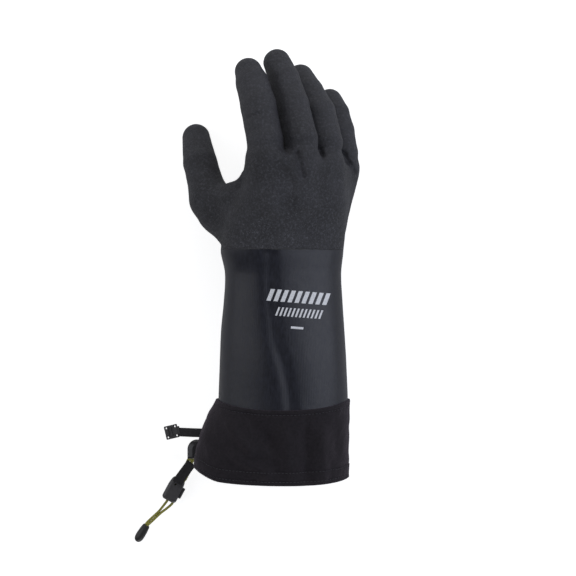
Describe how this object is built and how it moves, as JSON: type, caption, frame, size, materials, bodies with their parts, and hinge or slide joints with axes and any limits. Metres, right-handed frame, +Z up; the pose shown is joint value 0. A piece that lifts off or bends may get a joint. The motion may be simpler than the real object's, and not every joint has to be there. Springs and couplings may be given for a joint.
{
  "type": "cryogenic glove",
  "caption": "Insulated right-hand cryogenic work glove with coated hand, smooth gauntlet, woven drawcord cuff with cord lock, and a webbing strap with a small clip.",
  "frame": {"origin": "on the bench (z = 0), at the middle of the cuff's flat underside (mount cuff_rest)", "axes": "+Z up from the bench the glove lies on palm down; +Y from the cuff towards the fingertips; +X towards the little finger side"},
  "size_m": [0.1878, 0.4108, 0.1054],
  "materials": {
    "hand_coat": "matt, gritty dipped nitrile-type coat",
    "gauntlet_skin": "smooth, half-gloss coat over knitted fabric",
    "fleece": "brushed insulating fleece",
    "woven": "plain woven nylon",
    "binding": "folded tape with stitching",
    "webbing": "narrow woven webbing",
    "plastic": "moulded acetal, satin",
    "lock_plastic": "moulded acetal, satin",
    "cord": "round elastic shock cord with a braided cover",
    "steel": "spring wire",
    "elastic": "braided elastic"
  },
  "bodies": {
    "gauntlet": {"gauntlet_shell": "gauntlet_skin", "gauntlet_liner": "fleece", "cuff_skirt": "woven", "cuff_seam_binding": "binding", "hem_channel": "woven", "hem_drawcord": "elastic", "cord_outlet_tab": "plastic"},
    "hand": {"palm_shell": "hand_coat", "palm_liner": "fleece"},
    "index_base": {"index_base_shell": "hand_coat", "index_base_liner": "fleece"},
    "index_middle": {"index_middle_shell": "hand_coat", "index_middle_liner": "fleece"},
    "index_tip": {"index_tip_shell": "hand_coat", "index_tip_liner": "fleece"},
    "middle_base": {"middle_base_shell": "hand_coat", "middle_base_liner": "fleece"},
    "middle_middle": {"middle_middle_shell": "hand_coat", "middle_middle_liner": "fleece"},
    "middle_tip": {"middle_tip_shell": "hand_coat", "middle_tip_liner": "fleece"},
    "ring_base": {"ring_base_shell": "hand_coat", "ring_base_liner": "fleece"},
    "ring_middle": {"ring_middle_shell": "hand_coat", "ring_middle_liner": "fleece"},
    "ring_tip": {"ring_tip_shell": "hand_coat", "ring_tip_liner": "fleece"},
    "little_base": {"little_base_shell": "hand_coat", "little_base_liner": "fleece"},
    "little_middle": {"little_middle_shell": "hand_coat", "little_middle_liner": "fleece"},
    "little_tip": {"little_tip_shell": "hand_coat", "little_tip_liner": "fleece"},
    "thumb_base": {"thumb_base_shell": "hand_coat", "thumb_base_liner": "fleece"},
    "thumb_tip": {"thumb_tip_shell": "hand_coat", "thumb_tip_liner": "fleece"},
    "strap": {"strap_webbing": "webbing"},
    "clip": {"strap_clip": "plastic"},
    "lock": {"lock_tab_webbing": "webbing", "cord_lock_body": "lock_plastic", "lock_spring": "steel"},
    "lock_button": {"cord_lock_button": "plastic"},
    "cord": {"cord_strand_left": "cord", "cord_strand_right": "cord"},
    "cord_end": {"cord_end": "plastic"}
  },
  "joints": [
    {"name": "wrist_bend", "type": "hinge", "parent": "gauntlet", "child": "hand", "pos_m": [0.0075, 0.163, 0.055], "axis": [-1, 0, 0], "range_deg": [-20, 25], "stiffness_Nm_per_rad": 2.5},
    {"name": "index_knuckle", "type": "hinge", "parent": "hand", "child": "index_base", "pos_m": [-0.0068, 0.2486, 0.08921], "axis": [-0.848, 0, 0.5299], "range_deg": [-10, 44], "stiffness_Nm_per_rad": 0.25},
    {"name": "index_middle_joint", "type": "hinge", "parent": "index_base", "child": "index_middle", "pos_m": [-0.0121, 0.2779, 0.08073], "axis": [-0.848, 0, 0.5299], "range_deg": [-10, 52], "stiffness_Nm_per_rad": 0.25},
    {"name": "index_end_joint", "type": "hinge", "parent": "index_middle", "child": "index_tip", "pos_m": [-0.0175, 0.2975, 0.07208], "axis": [-0.848, 0, 0.5299], "range_deg": [-6, 31.2], "stiffness_Nm_per_rad": 0.25},
    {"name": "middle_knuckle", "type": "hinge", "parent": "hand", "child": "middle_base", "pos_m": [0.0216, 0.2498, 0.0822], "axis": [-0.848, 0, 0.5299], "range_deg": [-10, 44], "stiffness_Nm_per_rad": 0.25},
    {"name": "middle_middle_joint", "type": "hinge", "parent": "middle_base", "child": "middle_middle", "pos_m": [0.0148, 0.2793, 0.07131], "axis": [-0.848, 0, 0.5299], "range_deg": [-10, 52], "stiffness_Nm_per_rad": 0.25},
    {"name": "middle_end_joint", "type": "hinge", "parent": "middle_middle", "child": "middle_tip", "pos_m": [0.0084, 0.3013, 0.06107], "axis": [-0.848, 0, 0.5299], "range_deg": [-6, 31.2], "stiffness_Nm_per_rad": 0.25},
    {"name": "ring_knuckle", "type": "hinge", "parent": "hand", "child": "ring_base", "pos_m": [0.0422, 0.2499, 0.06157], "axis": [-0.848, 0, 0.5299], "range_deg": [-10, 44], "stiffness_Nm_per_rad": 0.25},
    {"name": "ring_middle_joint", "type": "hinge", "parent": "ring_base", "child": "ring_middle", "pos_m": [0.037, 0.2751, 0.05325], "axis": [-0.848, 0, 0.5299], "range_deg": [-10, 52], "stiffness_Nm_per_rad": 0.25},
    {"name": "ring_end_joint", "type": "hinge", "parent": "ring_middle", "child": "ring_tip", "pos_m": [0.0289, 0.2933, 0.04029], "axis": [-0.848, 0, 0.5299], "range_deg": [-6, 31.2], "stiffness_Nm_per_rad": 0.25},
    {"name": "little_knuckle", "type": "hinge", "parent": "hand", "child": "little_base", "pos_m": [0.0571, 0.2444, 0.02918], "axis": [-0.848, 0, 0.5299], "range_deg": [-10, 40], "stiffness_Nm_per_rad": 0.25},
    {"name": "little_middle_joint", "type": "hinge", "parent": "little_base", "child": "little_middle", "pos_m": [0.0548, 0.2627, 0.0255], "axis": [-0.848, 0, 0.5299], "range_deg": [-10, 48], "stiffness_Nm_per_rad": 0.25},
    {"name": "little_end_joint", "type": "hinge", "parent": "little_middle", "child": "little_tip", "pos_m": [0.0513, 0.2772, 0.0199], "axis": [-0.848, 0, 0.5299], "range_deg": [-6, 28.8], "stiffness_Nm_per_rad": 0.25},
    {"name": "thumb_base_joint", "type": "hinge", "parent": "hand", "child": "thumb_base", "pos_m": [-0.0525, 0.204, 0.041], "axis": [-0.9006, -0.3547, -0.2512], "range_deg": [-15, 30], "stiffness_Nm_per_rad": 0.25},
    {"name": "thumb_end_joint", "type": "hinge", "parent": "thumb_base", "child": "thumb_tip", "pos_m": [-0.0615, 0.2357, 0.0285], "axis": [-0.9006, -0.3547, -0.2512], "range_deg": [-10, 55], "stiffness_Nm_per_rad": 0.25},
    {"name": "strap_swing", "type": "hinge", "parent": "gauntlet", "child": "strap", "pos_m": [-0.0561, 0.0108, 0.025], "axis": [0, 1, 0], "range_deg": [-15, 50], "stiffness_Nm_per_rad": 0.01},
    {"name": "clip_swing", "type": "hinge", "parent": "strap", "child": "clip", "pos_m": [-0.07984, 0.0108, 0.01541], "axis": [0, 1, 0], "range_deg": [-60, 60], "stiffness_Nm_per_rad": 0.002},
    {"name": "lock_swing", "type": "hinge", "parent": "gauntlet", "child": "lock", "pos_m": [-0.0695, -0.0152, 0.017], "axis": [-0.7507, 0.6606, 0], "range_deg": [-10, 75], "stiffness_Nm_per_rad": 0.01},
    {"name": "lock_button_press", "type": "slide", "parent": "lock", "child": "lock_button", "axis": [-0.8804, 0.4742, 0], "range_m": [0, 0.0018], "stiffness_N_per_m": 600, "springref_m": -0.001, "deforming": ["lock_spring"]},
    {"name": "cord_pull", "type": "slide", "parent": "lock", "child": "cord", "axis": [-0.4742, -0.8804, 0], "range_m": [0, 0.025], "stiffness_N_per_m": 5},
    {"name": "cord_end_swing", "type": "hinge", "parent": "cord", "child": "cord_end", "pos_m": [-0.10752, -0.06808, 0.00555], "axis": [0, 0, 1], "range_deg": [-30, 30], "stiffness_Nm_per_rad": 0.001}
  ],
  "couplings": [
    {"joint": "index_end_joint", "follows": "index_middle_joint", "ratio": 0.6},
    {"joint": "middle_end_joint", "follows": "middle_middle_joint", "ratio": 0.6},
    {"joint": "ring_end_joint", "follows": "ring_middle_joint", "ratio": 0.6},
    {"joint": "little_end_joint", "follows": "little_middle_joint", "ratio": 0.6}
  ]
}
